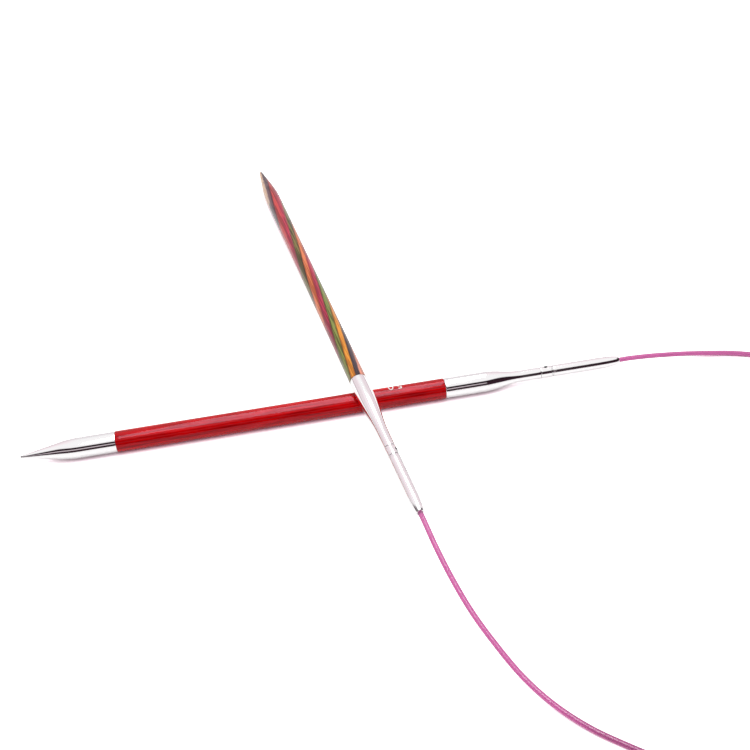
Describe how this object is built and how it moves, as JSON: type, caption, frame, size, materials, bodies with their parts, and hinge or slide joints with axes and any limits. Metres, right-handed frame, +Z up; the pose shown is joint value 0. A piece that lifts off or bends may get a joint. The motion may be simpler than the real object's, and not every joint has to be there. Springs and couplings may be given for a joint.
{
  "type": "circular knitting needle",
  "caption": "Circular knitting needle with screw-on tips of red wood with a metal point and of striped laminated wood, joined by a pink nylon cable with swivelling metal connectors.",
  "frame": {"origin": "middle of the crossed tips and their connectors, on the table they lie on", "axes": "+X along the red tip from its point to its cable end, +Y towards the striped tip's point, +Z up"},
  "size_m": [0.2178, 0.2174, 0.0107],
  "materials": {
    "nickel_plate": "polished nickel plate",
    "brass": "turned",
    "red_wood": "stained and lacquered, glossy",
    "nylon_cable": "smooth translucent nylon",
    "peach_ply": "dyed veneer, polished",
    "plum_ply": "dyed veneer, polished",
    "coral_ply": "dyed veneer, polished",
    "crimson_ply": "dyed veneer, polished",
    "olive_ply": "dyed veneer, polished",
    "apricot_ply": "dyed veneer, polished",
    "raspberry_ply": "dyed veneer, polished",
    "green_ply": "dyed veneer, polished",
    "orange_ply": "dyed veneer, polished",
    "navy_ply": "dyed veneer, polished",
    "salmon_ply": "dyed veneer, polished"
  },
  "bodies": {
    "cable": {"cable": "nylon_cable", "red_sleeve": "nickel_plate", "striped_sleeve": "nickel_plate"},
    "red_bush": {"red_swivel_bush": "nickel_plate"},
    "red_tip": {"red_point": "nickel_plate", "red_wood": "red_wood", "red_ferrule": "nickel_plate"},
    "red_stud": {"red_screw": "nickel_plate", "red_retaining_ring": "brass"},
    "striped_bush": {"striped_swivel_bush": "nickel_plate"},
    "striped_tip": {"peach_ply": "peach_ply", "plum_ply": "plum_ply", "coral_ply": "coral_ply", "crimson_ply": "crimson_ply", "olive_ply": "olive_ply", "apricot_ply": "apricot_ply", "raspberry_ply": "raspberry_ply", "green_ply": "green_ply", "orange_ply": "orange_ply", "navy_ply": "navy_ply", "salmon_ply": "salmon_ply", "striped_ferrule": "nickel_plate"},
    "striped_stud": {"striped_screw": "nickel_plate", "striped_retaining_ring": "brass"}
  },
  "joints": [
    {"name": "red_swivel", "type": "hinge", "parent": "cable", "child": "red_bush", "pos_m": [0.0525, -0.031, 0.0025], "axis": [1, 0, 0], "continuous": true},
    {"name": "red_tip_unscrew", "type": "slide", "parent": "red_bush", "child": "red_tip", "axis": [-1, 0, 0], "range_m": [0, 0.0032]},
    {"name": "red_screw_turn", "type": "hinge", "parent": "red_bush", "child": "red_stud", "pos_m": [0.0525, -0.031, 0.0025], "axis": [1, 0, 0], "range_deg": [0, 2880]},
    {"name": "striped_swivel", "type": "hinge", "parent": "cable", "child": "striped_bush", "pos_m": [0.01126, -0.05198, 0.00838], "axis": [0.1303, -0.9898, 0.0569], "continuous": true},
    {"name": "striped_tip_unscrew", "type": "slide", "parent": "striped_bush", "child": "striped_tip", "axis": [-0.1303, 0.9898, -0.0569], "range_m": [0, 0.0032]},
    {"name": "striped_screw_turn", "type": "hinge", "parent": "striped_bush", "child": "striped_stud", "pos_m": [0.01126, -0.05198, 0.00838], "axis": [0.1303, -0.9898, 0.0569], "range_deg": [0, 2880]}
  ],
  "couplings": [
    {"joint": "red_screw_turn", "follows": "red_tip_unscrew", "rad_per_m": 15708},
    {"joint": "striped_screw_turn", "follows": "striped_tip_unscrew", "rad_per_m": 15708}
  ]
}
